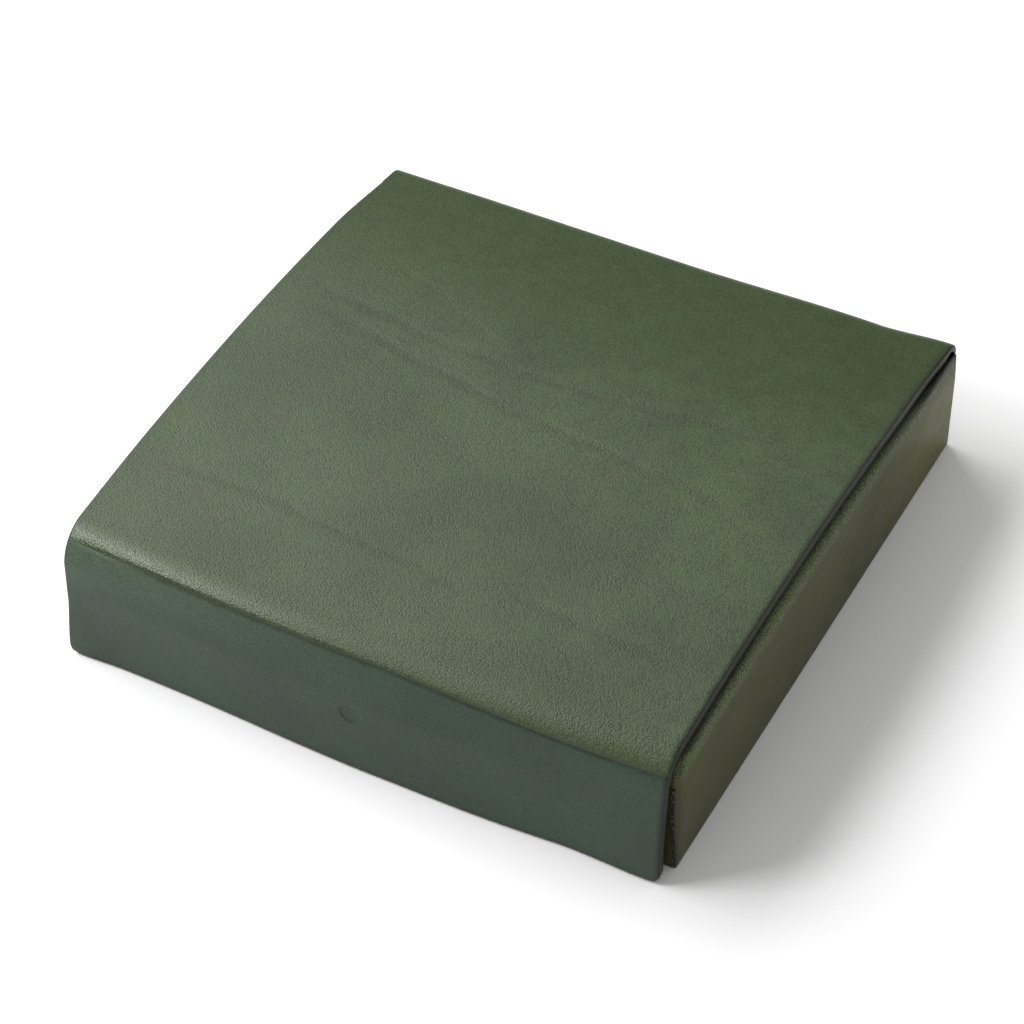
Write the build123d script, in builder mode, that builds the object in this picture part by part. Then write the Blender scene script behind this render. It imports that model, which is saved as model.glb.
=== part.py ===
from build123d import *
import math
import os

# A low jewellery case: a tray of leather-covered boards, closed by one stiff sheet of leather that runs
# up the back, over the top as a shallow arch and down in front as a flap. +X runs right along the front,
# +Y to the back and +Z up. The origin is on the table under the middle of the closed case. Millimetres.

# Overall sizes of the closed case
case_width = 247.0
case_depth = 257.0
case_height = 61.5

# Layers of the cover, from the outside in
hide = 1.4
cover_core = 2.4
cover_lining = 1.2

# The cover: an arch between a soft bend in front and a tighter fold at the back, bowed out in front.
# The rim of each side wall shows beside it.
rim_show = 3.5
arch_radius = 1100.0
apex_setback = 100.5
flap_bow = 4.4
front_bend_radius = 15.0
back_bend_radius = 8.0
crease_angle = 35.0
hinge_zone = 21.5
hinge_strip_thickness = 1.2
flap_lift = 1.0
flap_corner = 4.0

# A plain round dimple pressed into the middle of the flap
dimple_diameter = 9.0
dimple_depth = 0.5
dimple_height = 29.0

# Walls and base of the tray
wall_board = 5.0
base_board_thickness = 4.0
flap_gap = 1.3
rim_round = 4.0
rim_clearance = 0.3
corner_rebate = 2.0
skin_lift = 0.4
back_seam = 0.2

# Furnishing of the tray
suede = 1.0
floor_lining_thickness = 2.0
divider_thickness = 4.0
divider_height = 30.0
divider_clearance = 0.2
columns = 3
lining_corner = 4.0
roll_count = 5
roll_height = 25.0
roll_gap = 1.0
roll_crown_share = 0.42
roll_end_round = 3.0
roll_clearance = 0.5

# Disc magnets that hold the flap to the front wall
magnet_diameter = 12.0
magnet_backing = 0.4
magnet_spacing = 150.0
magnet_height = 24.0
magnet_clearance = 0.1

# Every cut runs this far past the face that it opens
overrun = 2.0

# Planes and heights that several pieces share
front_face = -case_depth / 2
back_face = case_depth / 2
cover_half = case_width / 2 - rim_show
cover_thickness = hide + cover_core + cover_lining
flap_ends = front_face + flap_bow
tray_front = flap_ends + cover_thickness + flap_gap
board_front = tray_front + hide
board_back = back_face - hide
board_outer = case_width / 2 - hide
board_inner = board_outer - wall_board
board_bottom = hide
wall_front = board_front + wall_board
wall_back = board_back - wall_board
base_top = board_bottom + base_board_thickness
floor_top = base_top + floor_lining_thickness
room_half = board_inner - suede
room_front = wall_front + suede
room_back = wall_back - suede
seam_half = case_width / 2 - rim_round
magnet_thickness = cover_core - magnet_backing

# Centres and turning angles of the cover's curves, in the plane of Y and Z
arch_centre = (front_face + apex_setback, case_height - arch_radius)


def corner_centre(centre_y, reach):
    """Centre of a corner curve that runs into an arch, `reach` from the middle of that arch."""
    run = centre_y - arch_centre[0]
    return (centre_y, arch_centre[1] + math.sqrt(reach**2 - run**2))


def turn_of(centre):
    """Angle at which a corner curve with this centre meets the arch."""
    return math.degrees(math.atan2(centre[1] - arch_centre[1], centre[0] - arch_centre[0]))


def on_circle(centre, radius, angle):
    """Point of a circle at an angle from the +Y direction."""
    turn = math.radians(angle)
    return (centre[0] + radius * math.cos(turn), centre[1] + radius * math.sin(turn))


front_bend = corner_centre(front_face + front_bend_radius, arch_radius - front_bend_radius)
back_bend = corner_centre(back_face - back_bend_radius, arch_radius - back_bend_radius)
front_turn = turn_of(front_bend)
back_turn = turn_of(back_bend)
crease_turn = 180 - crease_angle
board_end_run = back_face - hinge_zone - arch_centre[0]
board_end_turn = math.degrees(math.acos(board_end_run / arch_radius))
hinge_height = back_bend[1]
back_board_top = hinge_height - rim_clearance

# The rims of the side walls follow the underside of the cover
rim_radius = arch_radius - cover_thickness - rim_clearance
rim_front_corner = front_bend_radius - cover_thickness
rim_back_corner = back_bend_radius + cover_thickness / 2

# The front wall, and the tongues of the back board, end where the rims begin to round over
front_wall_top = corner_centre(tray_front + rim_front_corner, rim_radius - rim_front_corner)[1]
front_board_top = front_wall_top - hide
tongue_top = corner_centre(back_face - rim_back_corner, rim_radius - rim_back_corner)[1]


def arched_outline(front, back, bottom, top_radius, front_corner, back_corner):
    """Outline of a side panel: straight foot and ends, rounded upper corners and an arched top."""
    front_middle = corner_centre(front + front_corner, top_radius - front_corner)
    back_middle = corner_centre(back - back_corner, top_radius - back_corner)
    front_angle = turn_of(front_middle)
    back_angle = turn_of(back_middle)
    with BuildLine() as outline:
        CenterArc(back_middle, back_corner, 0, back_angle)
        CenterArc(arch_centre, top_radius, back_angle, front_angle - back_angle)
        CenterArc(front_middle, front_corner, front_angle, 180 - front_angle)
        Polyline(
            (front, front_middle[1]), (front, bottom), (back, bottom), (back, back_middle[1])
        )
    return outline.edges()


# In plan the front of the cover is a flat arc, bowed out in the middle
bow_radius = (cover_half**2 + flap_bow**2) / (2 * flap_bow)
bow_centre = front_face + bow_radius
roof_front_turn = math.degrees(math.acos((front_face - overrun - arch_centre[0]) / arch_radius))

# The cover turns on two lines: the fold at the top of its back and the crease in its front bend
crease = on_circle(front_bend, front_bend_radius, crease_turn)
board_end = on_circle(arch_centre, arch_radius, board_end_turn)


def square_to(point, angle):
    """Plane through a point of the cover that cuts its layers square, at the angle of that point."""
    turn = math.radians(angle)
    return Plane(origin=(0, *point), x_dir=(1, 0, 0), z_dir=(0, math.sin(turn), -math.cos(turn)))


crease_plane = square_to(crease, crease_turn)
board_end_plane = square_to(board_end, board_end_turn)
hinge_plane = Plane.XY.offset(hinge_height)


def cover_form(depth):
    """Everything under the cover from `depth` below its outer face: the layers lie between two of these."""
    spread = math.degrees(math.asin(cover_half / (bow_radius - depth)))
    with BuildPart() as form:
        with BuildSketch(Plane.XY.offset(flap_lift)):
            with BuildLine():
                bow = CenterArc((0, bow_centre), bow_radius - depth, 270 - spread, 2 * spread)
                Polyline(bow @ 1, (cover_half, back_face), (-cover_half, back_face), bow @ 0)
            make_face()
        extrude(amount=case_height)
        with BuildSketch(Plane.YZ):
            with BuildLine():
                CenterArc(back_bend, back_bend_radius - depth, 0, back_turn)
                roof = CenterArc(arch_centre, arch_radius - depth, back_turn, roof_front_turn - back_turn)
                Polyline(
                    roof @ 1,
                    ((roof @ 1).X, 0),
                    (back_face - depth, 0),
                    (back_face - depth, hinge_height),
                )
            make_face()
        extrude(amount=cover_half, both=True, mode=Mode.INTERSECT)
        fillet(faces().sort_by(Axis.Y)[0].edges().sort_by(Axis.Z)[-1], radius=front_bend_radius - depth)
    return form.part


hide_form = cover_form(0)
core_form = cover_form(hide)
strip_form = cover_form(hide + hinge_strip_thickness)
lining_form = cover_form(hide + cover_core)
inner_form = cover_form(cover_thickness)


# Base: a board let into the foot of the walls, with a leather sole that the case stands on
with BuildPart() as base_board:
    with BuildSketch(Plane.XY.offset(board_bottom)):
        with Locations((0, (wall_front + wall_back) / 2)):
            Rectangle(2 * (board_inner + corner_rebate), wall_back - wall_front + 2 * corner_rebate)
    extrude(amount=base_board_thickness)

with BuildPart() as base_leather:
    with BuildSketch(Plane.XY):
        with Locations((0, (board_front + board_back) / 2)):
            RectangleRounded(2 * board_outer, board_back - board_front, rim_round - hide)
    extrude(amount=hide)

# Front and back boards, with their ends let into the side boards
front_pockets = [
    Plane(origin=(side * magnet_spacing / 2, board_front, magnet_height), z_dir=(0, -1, 0))
    for side in (-1, 1)
]

with BuildPart() as front_board:
    with BuildSketch(Plane.XY.offset(board_bottom)):
        with Locations((0, (board_front + wall_front) / 2)):
            Rectangle(2 * (board_inner + corner_rebate), wall_board)
    extrude(amount=front_board_top - board_bottom)
    add(base_board.part, mode=Mode.SUBTRACT)
    with Locations(*front_pockets):
        Hole(radius=magnet_diameter / 2 + magnet_clearance, depth=magnet_thickness)

with BuildPart() as back_board:
    with BuildSketch(Plane.XY.offset(board_bottom)):
        with Locations((0, (wall_back + board_back) / 2)):
            Rectangle(2 * board_inner, wall_board)
    extrude(amount=back_board_top - board_bottom)
    with BuildSketch(Plane.XY.offset(board_bottom)):
        with Locations((0, (wall_back + board_back) / 2)):
            Rectangle(2 * (board_inner + corner_rebate), wall_board)
    extrude(amount=tongue_top - board_bottom)
    add(base_board.part, mode=Mode.SUBTRACT)

# Front leather: a sheet over the front of the tray, turned over the top of the front board
with BuildPart() as front_leather:
    with BuildSketch(Plane.XY.offset(skin_lift)):
        with Locations((0, tray_front + hide / 2)):
            Rectangle(2 * seam_half, hide)
    extrude(amount=front_wall_top - skin_lift)
    with BuildSketch(Plane.XY.offset(front_board_top)):
        with Locations((0, (board_front + wall_front) / 2)):
            Rectangle(2 * board_inner, wall_board)
    extrude(amount=hide)

# Back leather: the lowest run of the cover, glued to the back board up to the hinge fold
with BuildPart() as back_leather:
    with BuildSketch(Plane.XY.offset(skin_lift)):
        with Locations((0, board_back + hide / 2)):
            Rectangle(2 * cover_half, hide)
    extrude(amount=hinge_height - skin_lift)

# Side walls: an arched board with rounded outer edges, rebated for the base and the end boards
with BuildPart() as right_panel:
    with BuildSketch(Plane.YZ.offset(board_inner)):
        make_face(
            arched_outline(
                board_front,
                board_back,
                board_bottom,
                rim_radius - hide,
                rim_front_corner - hide,
                rim_back_corner - hide,
            )
        )
    extrude(amount=wall_board)
    fillet(faces().sort_by(Axis.X)[-1].edges().sort_by(Axis.Z)[1:], radius=rim_round - hide)

with BuildPart() as right_side_board:
    add(right_panel.part)
    add(base_board.part, mode=Mode.SUBTRACT)
    add(front_board.part, mode=Mode.SUBTRACT)
    add(back_board.part, mode=Mode.SUBTRACT)

# Side leather: wraps the board's outer face, its upright edges and its rim
with BuildPart() as right_side_leather:
    with BuildSketch(Plane.YZ.offset(board_inner)):
        make_face(
            arched_outline(
                tray_front, back_face, skin_lift, rim_radius, rim_front_corner, rim_back_corner
            )
        )
    extrude(amount=case_width / 2 - board_inner)
    fillet(faces().sort_by(Axis.X)[-1].edges().sort_by(Axis.Z)[1:], radius=rim_round)
    add(right_panel.part, mode=Mode.SUBTRACT)
    add(base_leather.part, mode=Mode.SUBTRACT)
    add(front_leather.part, mode=Mode.SUBTRACT)
    with Locations((board_inner - overrun, board_back, 0)):
        Box(
            cover_half + back_seam - board_inner + overrun,
            hide + overrun,
            case_height,
            align=Align.MIN,
            mode=Mode.SUBTRACT,
        )

# The left wall mirrors the right one
with BuildPart() as left_side_board:
    mirror(right_side_board.part, about=Plane.YZ)

with BuildPart() as left_side_leather:
    mirror(right_side_leather.part, about=Plane.YZ)

# Suede linings on the walls and the floor of the tray
with BuildPart() as right_lining:
    with BuildSketch(Plane.YZ.offset(room_half)):
        make_face(
            arched_outline(
                wall_front, wall_back, base_top, rim_radius - hide, lining_corner, lining_corner
            )
        )
    extrude(amount=suede)

with BuildPart() as left_lining:
    mirror(right_lining.part, about=Plane.YZ)

with BuildPart() as front_lining:
    with BuildSketch(Plane.XY.offset(base_top)):
        with Locations((0, wall_front + suede / 2)):
            Rectangle(2 * room_half, suede)
    extrude(amount=front_board_top - base_top)

with BuildPart() as back_lining:
    with BuildSketch(Plane.XY.offset(base_top)):
        with Locations((0, wall_back - suede / 2)):
            Rectangle(2 * room_half, suede)
    extrude(amount=back_board_top - base_top)

with BuildPart() as floor_lining:
    with BuildSketch(Plane.XY.offset(base_top)):
        with Locations((0, (room_front + room_back) / 2)):
            Rectangle(2 * room_half, room_back - room_front)
    extrude(amount=floor_lining_thickness)

# Dividers: one runs left to right, two run front to back, halved into each other where they cross
row_place = (room_front + room_back) / 2
column_width = 2 * room_half / columns
column_place = column_width / 2
slot_width = divider_thickness + 2 * divider_clearance
half_height = divider_height / 2

with BuildPart() as long_divider:
    with BuildSketch(Plane.XY.offset(floor_top)):
        with Locations((0, row_place)):
            Rectangle(2 * (room_half - divider_clearance), divider_thickness)
    extrude(amount=divider_height)
    with Locations(
        (-column_place, row_place, floor_top + half_height), (column_place, row_place, floor_top + half_height)
    ):
        Box(
            slot_width,
            divider_thickness + overrun,
            half_height + overrun,
            align=(Align.CENTER, Align.CENTER, Align.MIN),
            mode=Mode.SUBTRACT,
        )

with BuildPart() as right_divider:
    with BuildSketch(Plane.XY.offset(floor_top)):
        with Locations((column_place, row_place)):
            Rectangle(divider_thickness, room_back - room_front - 2 * divider_clearance)
    extrude(amount=divider_height)
    with Locations((column_place, row_place, floor_top + half_height)):
        Box(
            divider_thickness + overrun,
            slot_width,
            half_height + overrun,
            align=(Align.CENTER, Align.CENTER, Align.MAX),
            mode=Mode.SUBTRACT,
        )

with BuildPart() as left_divider:
    mirror(right_divider.part, about=Plane.YZ)

# Ring rolls: soft bolsters with a crowned top, side by side in the middle of the rear row
roll_row_front = row_place + divider_thickness / 2
roll_pitch = (room_back - roll_row_front) / roll_count
roll_width = roll_pitch - roll_gap
roll_length = column_width - divider_thickness - 2 * roll_clearance
ring_rolls = []
for number in range(roll_count):
    with BuildPart() as ring_roll:
        with BuildSketch(Plane.YZ.offset(-roll_length / 2)):
            with Locations((roll_row_front + (number + 0.5) * roll_pitch, floor_top + roll_height / 2)):
                Rectangle(roll_width, roll_height)
            fillet(vertices().sort_by(Axis.Y)[-2:], radius=roll_crown_share * roll_width)
        extrude(amount=roll_length)
        end_faces = faces().filter_by(Axis.X)
        fillet(end_faces.edges().sort_by(Axis.Z)[2:], radius=roll_end_round)
    ring_roll.part.label = f"ring_roll_{number + 1}"
    ring_rolls.append(ring_roll)

# Lid: outer hide from the hinge fold to the crease, with a stiff core and a lining behind it
with BuildPart() as lid_leather:
    add(hide_form)
    add(core_form, mode=Mode.SUBTRACT)
    split(bisect_by=crease_plane, keep=Keep.TOP)
    split(bisect_by=hinge_plane, keep=Keep.TOP)

with BuildPart() as lid_board:
    add(core_form)
    add(lining_form, mode=Mode.SUBTRACT)
    split(bisect_by=crease_plane, keep=Keep.TOP)
    split(bisect_by=board_end_plane, keep=Keep.BOTTOM)

with BuildPart() as lid_lining:
    add(lining_form)
    add(inner_form, mode=Mode.SUBTRACT)
    split(bisect_by=crease_plane, keep=Keep.TOP)
    split(bisect_by=board_end_plane, keep=Keep.BOTTOM)

# Hinge strip: a second leather behind the fold, from the top of the back board to the lid's core
with BuildPart() as hinge_strip:
    add(core_form)
    add(strip_form, mode=Mode.SUBTRACT)
    split(bisect_by=board_end_plane, keep=Keep.TOP)
    split(bisect_by=hinge_plane, keep=Keep.TOP)

# Flap: the same three layers below the crease, with rounded lower corners
pocket_radius = bow_radius - hide - cover_core
pocket_turn = math.asin(magnet_spacing / 2 / pocket_radius)
flap_pockets = [
    Plane(
        origin=(
            side * magnet_spacing / 2,
            bow_centre - pocket_radius * math.cos(pocket_turn),
            magnet_height,
        ),
        z_dir=(-side * math.sin(pocket_turn), math.cos(pocket_turn), 0),
    )
    for side in (-1, 1)
]

with BuildPart() as flap_leather:
    add(hide_form)
    add(core_form, mode=Mode.SUBTRACT)
    split(bisect_by=crease_plane, keep=Keep.BOTTOM)
    fillet(edges().filter_by(Axis.Y).group_by(Axis.Z)[0], radius=flap_corner)
    with Locations(Plane(origin=(0, front_face, dimple_height), z_dir=(0, -1, 0))):
        Hole(radius=dimple_diameter / 2, depth=dimple_depth)

with BuildPart() as flap_board:
    add(core_form)
    add(lining_form, mode=Mode.SUBTRACT)
    split(bisect_by=crease_plane, keep=Keep.BOTTOM)
    fillet(edges().filter_by(Axis.Y).group_by(Axis.Z)[0], radius=flap_corner)
    with Locations(*flap_pockets):
        Hole(radius=magnet_diameter / 2 + magnet_clearance, depth=magnet_thickness)

with BuildPart() as flap_lining:
    add(lining_form)
    add(inner_form, mode=Mode.SUBTRACT)
    split(bisect_by=crease_plane, keep=Keep.BOTTOM)
    fillet(edges().filter_by(Axis.Y).group_by(Axis.Z)[0], radius=flap_corner)

# Magnets: one disc in each pocket of the front board and of the flap's core
magnets = []
for pockets, place in ((front_pockets, "wall"), (flap_pockets, "flap")):
    for pocket, side in zip(pockets, ("left", "right")):
        with BuildPart() as magnet:
            with Locations(pocket):
                Cylinder(
                    radius=magnet_diameter / 2,
                    height=magnet_thickness,
                    align=(Align.CENTER, Align.CENTER, Align.MAX),
                )
        magnet.part.label = f"{side}_{place}_magnet"
        magnets.append(magnet)

# Names of the pieces, and one file for each
base_board.part.label = "base_board"
base_leather.part.label = "base_leather"
front_board.part.label = "front_board"
back_board.part.label = "back_board"
front_leather.part.label = "front_leather"
back_leather.part.label = "back_leather"
right_side_board.part.label = "right_side_board"
left_side_board.part.label = "left_side_board"
right_side_leather.part.label = "right_side_leather"
left_side_leather.part.label = "left_side_leather"
right_lining.part.label = "right_lining"
left_lining.part.label = "left_lining"
front_lining.part.label = "front_lining"
back_lining.part.label = "back_lining"
floor_lining.part.label = "floor_lining"
long_divider.part.label = "long_divider"
right_divider.part.label = "right_divider"
left_divider.part.label = "left_divider"
lid_leather.part.label = "lid_leather"
lid_board.part.label = "lid_board"
lid_lining.part.label = "lid_lining"
hinge_strip.part.label = "hinge_strip"
flap_leather.part.label = "flap_leather"
flap_board.part.label = "flap_board"
flap_lining.part.label = "flap_lining"

os.makedirs("parts", exist_ok=True)
pieces = [
    base_board,
    base_leather,
    front_board,
    back_board,
    front_leather,
    back_leather,
    right_side_board,
    left_side_board,
    right_side_leather,
    left_side_leather,
    right_lining,
    left_lining,
    front_lining,
    back_lining,
    floor_lining,
    long_divider,
    right_divider,
    left_divider,
    *ring_rolls,
    lid_leather,
    lid_board,
    lid_lining,
    hinge_strip,
    flap_leather,
    flap_board,
    flap_lining,
    *magnets,
]
for piece in pieces:
    export_step(piece.part, f"parts/{piece.part.label}.step")
print(f"hinge line y {back_face:.3f} z {hinge_height:.3f}")
print(f"crease line y {crease[0]:.3f} z {crease[1]:.3f}")
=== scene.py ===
import math

import bmesh
import bpy
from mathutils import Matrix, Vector, noise


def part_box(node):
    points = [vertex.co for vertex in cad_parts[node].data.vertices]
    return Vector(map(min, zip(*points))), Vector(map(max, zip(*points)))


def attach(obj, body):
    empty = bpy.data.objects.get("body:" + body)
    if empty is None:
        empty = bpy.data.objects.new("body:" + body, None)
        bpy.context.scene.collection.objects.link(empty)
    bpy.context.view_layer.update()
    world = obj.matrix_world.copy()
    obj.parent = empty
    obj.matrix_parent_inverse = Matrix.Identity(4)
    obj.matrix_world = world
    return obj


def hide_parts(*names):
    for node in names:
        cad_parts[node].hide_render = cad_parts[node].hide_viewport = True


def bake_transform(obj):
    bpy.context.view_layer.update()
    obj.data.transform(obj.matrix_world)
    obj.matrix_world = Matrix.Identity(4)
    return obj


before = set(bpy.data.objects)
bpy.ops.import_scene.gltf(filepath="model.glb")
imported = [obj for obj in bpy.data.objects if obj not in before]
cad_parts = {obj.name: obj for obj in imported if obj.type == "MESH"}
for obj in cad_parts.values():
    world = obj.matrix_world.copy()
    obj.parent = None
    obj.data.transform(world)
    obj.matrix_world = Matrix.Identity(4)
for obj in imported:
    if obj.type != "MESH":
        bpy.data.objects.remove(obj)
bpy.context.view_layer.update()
bpy.ops.object.select_all(action="DESELECT")

# Camera: a long lens in front of the right corner, looking down on the case, as in the photograph.
# It stands at a distance from a point inside the case, level, with no shift.
mm = 0.001
camera_azimuth = math.radians(27.38)
camera_elevation = math.radians(44.0)
camera_distance = 1430.6 * mm
camera_target = Vector((-0.65, -2.64, 20.0)) * mm
camera_lens, camera_sensor = 133.73, 36.0
camera_back = Vector(
    (
        math.sin(camera_azimuth) * math.cos(camera_elevation),
        -math.cos(camera_azimuth) * math.cos(camera_elevation),
        math.sin(camera_elevation),
    )
)
bpy.ops.object.camera_add(location=camera_target + camera_back * camera_distance)
camera = bpy.context.object
camera.rotation_euler = (-camera_back).to_track_quat("-Z", "Y").to_euler()
camera.data.sensor_fit = "HORIZONTAL"
camera.data.sensor_width, camera.data.lens = camera_sensor, camera_lens
bpy.context.scene.camera = camera
bpy.context.scene.view_settings.view_transform = "Standard"


# Floor: a sheet of matt white paper that runs out of the picture on all sides.
# It is white where the lamps reach it and keeps the soft shadow of the case.
def node(tree, kind, sockets=(), **settings):
    """Adds a node with its settings. Its sockets, in order or by name, get a value or a link."""
    made = tree.nodes.new("ShaderNode" + kind)
    for name, value in settings.items():
        setattr(made, name, value)
    for name, value in sockets.items() if isinstance(sockets, dict) else enumerate(sockets):
        value = value.outputs[0] if isinstance(value, bpy.types.Node) else value
        if isinstance(value, bpy.types.NodeSocket):
            tree.links.new(value, made.inputs[name])
        else:
            made.inputs[name].default_value = value
    return made


floor_size = 6.0
paper_seen, paper_lit = 1.17, 0.82
bpy.ops.mesh.primitive_plane_add(size=floor_size)
floor = bpy.context.object
floor.name = "paper_floor"
paper = bpy.data.materials.new("matt_white_paper")
paper.use_nodes = True
tree = paper.node_tree
tree.nodes.clear()
path = node(tree, "LightPath")
seen = node(
    tree,
    "Math",
    {0: path.outputs["Is Camera Ray"], 1: path.outputs["Is Glossy Ray"]},
    operation="MAXIMUM",
).outputs[0]
shade = node(
    tree, "MapRange", {"Value": seen, "To Min": paper_lit, "To Max": paper_seen}, clamp=False
).outputs[0]
matt = node(tree, "BsdfDiffuse", {"Color": shade})
node(tree, "OutputMaterial", {"Surface": matt.outputs[0]})
floor.data.materials.append(paper)


# Light: three softboxes in a row on the left, like one long window. The middle one throws the short soft
# shadow to the right, the rear one lays a sheen on the top and the front one a gleam on the bend. A pale
# room fills in.
def linear(code):
    """The linear colour of an sRGB hex code."""
    shares = [int(code[i : i + 2], 16) / 255 for i in (0, 2, 4)]
    return (*[c / 12.92 if c <= 0.04045 else ((c + 0.055) / 1.055) ** 2.4 for c in shares], 1.0)


room_level, room_seen = 0.40, 1.0
world = bpy.data.worlds.new("pale_room")
bpy.context.scene.world = world
world.use_nodes = True
tree = world.node_tree
tree.nodes.clear()
seen = node(tree, "LightPath").outputs["Is Camera Ray"]
level = node(tree, "MapRange", {"Value": seen, "To Min": room_level, "To Max": room_seen}).outputs[0]
glow = node(tree, "Background", {"Color": linear("FFFFFF"), "Strength": level})
node(tree, "OutputWorld", {"Surface": glow.outputs[0]})
for name, way, distance, size, power in (
    ("rear_softbox", (-0.58, 0.42, 0.70), 1.5, 0.7, 6.2),
    ("side_softbox", (-0.68, -0.06, 0.72), 1.7, 1.0, 12.3),
    ("front_softbox", (-0.52, -0.46, 0.72), 1.1, 0.3, 4.3),
):
    way = Vector(way).normalized()
    bpy.ops.object.light_add(type="AREA", location=way * distance)
    softbox = bpy.context.object
    softbox.name = name
    softbox.rotation_euler = way.to_track_quat("Z", "Y").to_euler()
    softbox.data.size, softbox.data.energy = size, power


# Base and boards: a plywood floor and walls, let into each other, with a leather sole under the floor.
# They are hidden in the covered walls, so the CAD pieces stay, in the bare material.
def dress(material, *nodes):
    """Gives CAD nodes a material in place of the plain one."""
    for name in nodes:
        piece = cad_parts[name]
        piece.data.materials.clear()
        piece.data.materials.append(material)


# Birch plywood, bare and sanded: pale and dull, with long fibres that are drawn coarse enough to show.
plywood = bpy.data.materials.new("birch_plywood")
plywood.use_nodes = True
tree = plywood.node_tree
board_place = node(tree, "TexCoord").outputs["Object"]
fibre_size, fibre_depth, fibre_stretch = 1.2 * mm, 0.05 * mm, (0.05, 1.0, 1.0)
long_fibres = node(tree, "Mapping", {"Vector": board_place, "Scale": fibre_stretch}).outputs[0]
fibres = node(
    tree, "TexNoise", {"Vector": long_fibres, "Scale": 1 / fibre_size, "Detail": 4.0}
).outputs[0]
birch = node(
    tree, "Mix", {0: fibres, 6: linear("A98A5E"), 7: linear("CFB58C")}, data_type="RGBA"
).outputs[2]
shader = tree.nodes["Principled BSDF"]
tree.links.new(birch, shader.inputs["Base Color"])
fibre_bump = node(tree, "Bump", {"Height": fibres, "Distance": fibre_depth}).outputs[0]
tree.links.new(fibre_bump, shader.inputs["Normal"])
shader.inputs["Roughness"].default_value = 0.7
dress(plywood, "base_board", "front_board")


# Side walls: a board covered in olive calf leather, which is turned over the rim and glued down inside. The
# rim follows the cover's arch. Beside the fold a small ear of the right wall closes the gap at the corner.
def open_new(name, scale=(1, 1, 1)):
    """Names the primitive that was just added, puts its place in its mesh and opens it for modelling."""
    piece = bpy.context.object
    piece.name = piece.data.name = name
    piece.scale = scale
    bpy.ops.object.transform_apply(location=True, rotation=True, scale=True)
    bpy.ops.object.mode_set(mode="EDIT")
    return piece


def work(piece, kind, **settings):
    """Adds a modifier with its settings and applies it."""
    bpy.context.view_layer.objects.active = piece
    modifier = piece.modifiers.new(kind, kind)
    for name, value in settings.items():
        setattr(modifier, name, value)
    bpy.ops.object.modifier_apply(modifier=modifier.name)


def copy_of(piece, name, shift=(0, 0, 0), scale=(1, 1, 1)):
    """A copy with its own mesh, scaled about the origin and then shifted."""
    bpy.ops.object.select_all(action="DESELECT")
    piece.select_set(True)
    bpy.context.view_layer.objects.active = piece
    bpy.ops.object.duplicate()
    twin = open_new(name, scale)
    bpy.ops.mesh.select_all(action="SELECT")
    bpy.ops.mesh.normals_make_consistent(inside=False)
    bpy.ops.transform.translate(value=shift)
    bpy.ops.object.mode_set(mode="OBJECT")
    return twin


def ease(value, low, high):
    """Runs smoothly from 0 at low to 1 at high."""
    share = min(max((value - low) / (high - low), 0.0), 1.0)
    return share * share * (3 - 2 * share)


def turn_about(centre, y, z):
    """The angle at which a place lies about a centre, seen from the side."""
    return math.atan2(z - centre[1], y - centre[0])


def corner_on(arch, reach, y, radius):
    """Centre of a rounded corner at this y that runs into an arch of this radius."""
    return (y, arch[1] + math.sqrt((reach - radius) ** 2 - (y - arch[0]) ** 2))


hair, smooth_angle = 0.01 * mm, math.radians(40)
wall_low, wall_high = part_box("right_side_leather")
rim_radius, rim_setback, rim_round, cover_line = 1094.7 * mm, 89.8 * mm, 3.4 * mm, 120.1 * mm
rim_arch = (wall_low.y + rim_setback, wall_high.z - rim_radius)
front_corner_radius, back_corner_radius, fold_corner_radius = 10 * mm, 3.5 * mm, 10.5 * mm
front_corner = corner_on(rim_arch, rim_radius, wall_low.y + front_corner_radius, front_corner_radius)
back_corner = corner_on(rim_arch, rim_radius, wall_high.y - back_corner_radius, back_corner_radius)
fold_corner = corner_on(rim_arch, rim_radius, wall_high.y - fold_corner_radius, fold_corner_radius)
front_rim_turn, back_rim_turn = turn_about(rim_arch, *front_corner), turn_about(rim_arch, *back_corner)
bpy.ops.mesh.primitive_plane_add(size=mm, location=(wall_low.x, wall_high.y, wall_low.z))
right_wall = open_new("right_wall")
bpy.ops.mesh.merge(type="CENTER")
bpy.ops.mesh.extrude_vertices_move(TRANSFORM_OT_translate={"value": (0, 0, back_corner[1] - wall_low.z)})
for centre, angle, steps in (
    (back_corner, back_rim_turn, 6),
    (rim_arch, front_rim_turn - back_rim_turn, 80),
    (front_corner, math.pi - front_rim_turn, 10),
):
    bpy.ops.mesh.spin(steps=steps, angle=angle, center=(0, *centre), axis=(-1, 0, 0))
bpy.ops.mesh.extrude_vertices_move(TRANSFORM_OT_translate={"value": (0, 0, wall_low.z - front_corner[1])})
bpy.ops.mesh.select_all(action="SELECT")
bpy.ops.mesh.edge_face_add()
for step in (cover_line - wall_low.x, wall_high.x - cover_line):
    bpy.ops.mesh.extrude_region_move(TRANSFORM_OT_translate={"value": (step, 0, 0)})
bpy.ops.mesh.select_all(action="SELECT")
bpy.ops.mesh.normals_make_consistent(inside=False)
bpy.ops.object.mode_set(mode="OBJECT")

rim_dip, dip_reach, back_panel = 1.2 * mm, 115 * mm, 126.9 * mm
ear_lift, ear_start, ear_end, ear_foot, ear_top = 4.4 * mm, 85 * mm, 124 * mm, 25 * mm, 40 * mm
ear_lean, lean_start, lean_end, lean_top = 1.2 * mm, 120 * mm, 127 * mm, 42 * mm


def ear_rise(place):
    """How far the ear lifts the rim at this place."""
    return ear_lift * ease(place.y, ear_start, ear_end) * ease(place.z, ear_foot, ear_top)


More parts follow.
